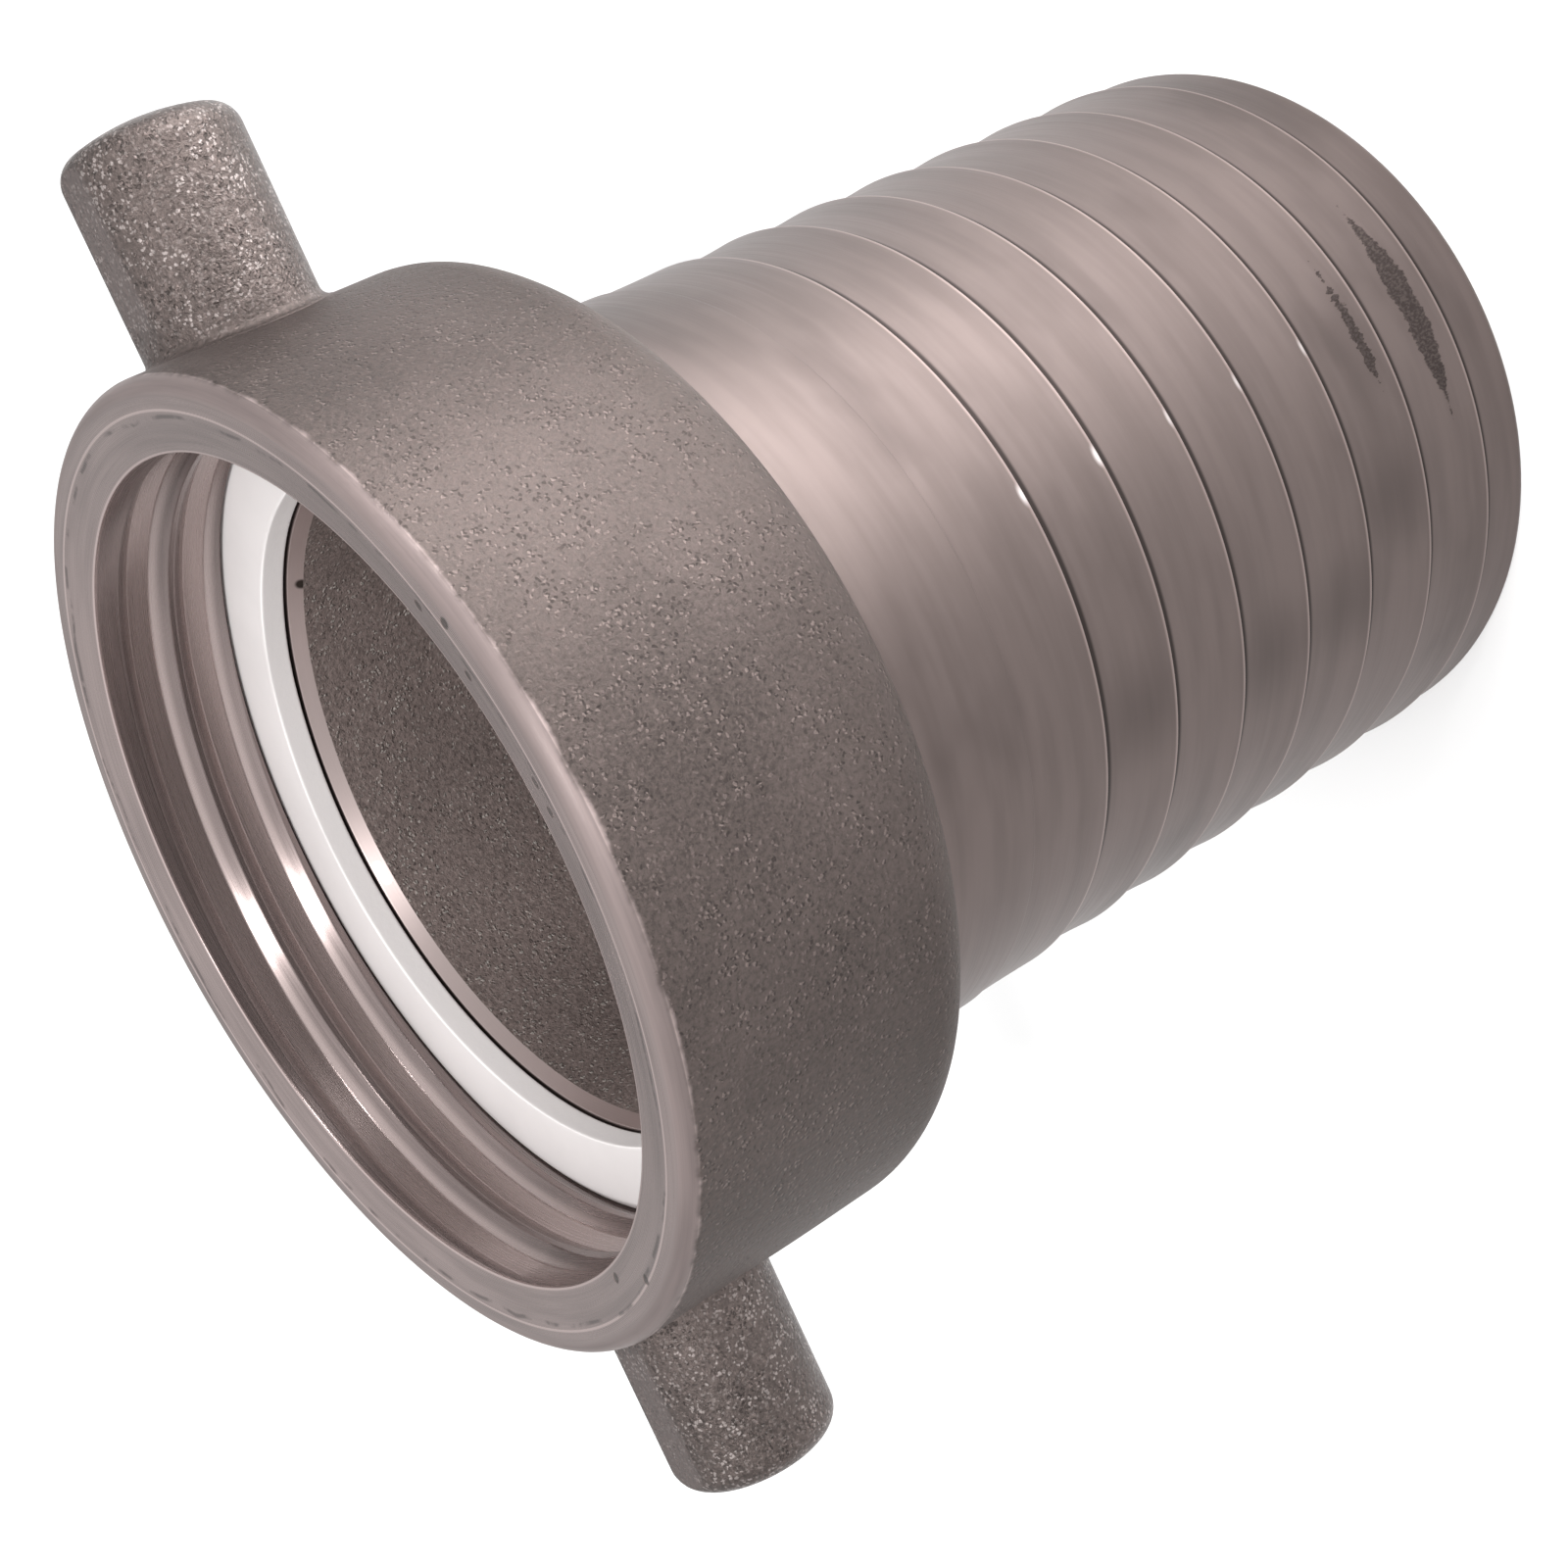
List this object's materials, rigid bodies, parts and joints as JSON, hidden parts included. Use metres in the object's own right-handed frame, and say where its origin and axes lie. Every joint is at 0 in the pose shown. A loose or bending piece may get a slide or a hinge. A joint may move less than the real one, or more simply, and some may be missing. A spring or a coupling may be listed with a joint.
{
  "type": "cap and tail hose coupling",
  "caption": "Cast aluminium hose coupling: a two-lug cap with a coarse inside thread turns on a tail with turned bands that push into a hose, with a flat washer inside.",
  "frame": {"origin": "on the coupling's axis, at the hose end that it stands on", "axes": "+Z from the hose end to the mouth of the cap, +X through one lug, +Y completes the right-handed frame"},
  "size_m": [0.133, 0.0946, 0.12],
  "materials": {
    "cap_casting": "sand-cast skin on the outside, turned on the rim and in the mouth",
    "tail_casting": "turned bands and flange, cast skin in the waterway",
    "washer": "smooth off-white"
  },
  "bodies": {
    "tail": {"hose_tail": "tail_casting"},
    "cap": {"cap": "cap_casting", "sealing_washer": "washer"}
  },
  "joints": [
    {"name": "cap_swivel", "type": "hinge", "parent": "tail", "child": "cap", "pos_m": [0, 0, 0.1], "axis": [0, 0, 1], "continuous": true}
  ]
}
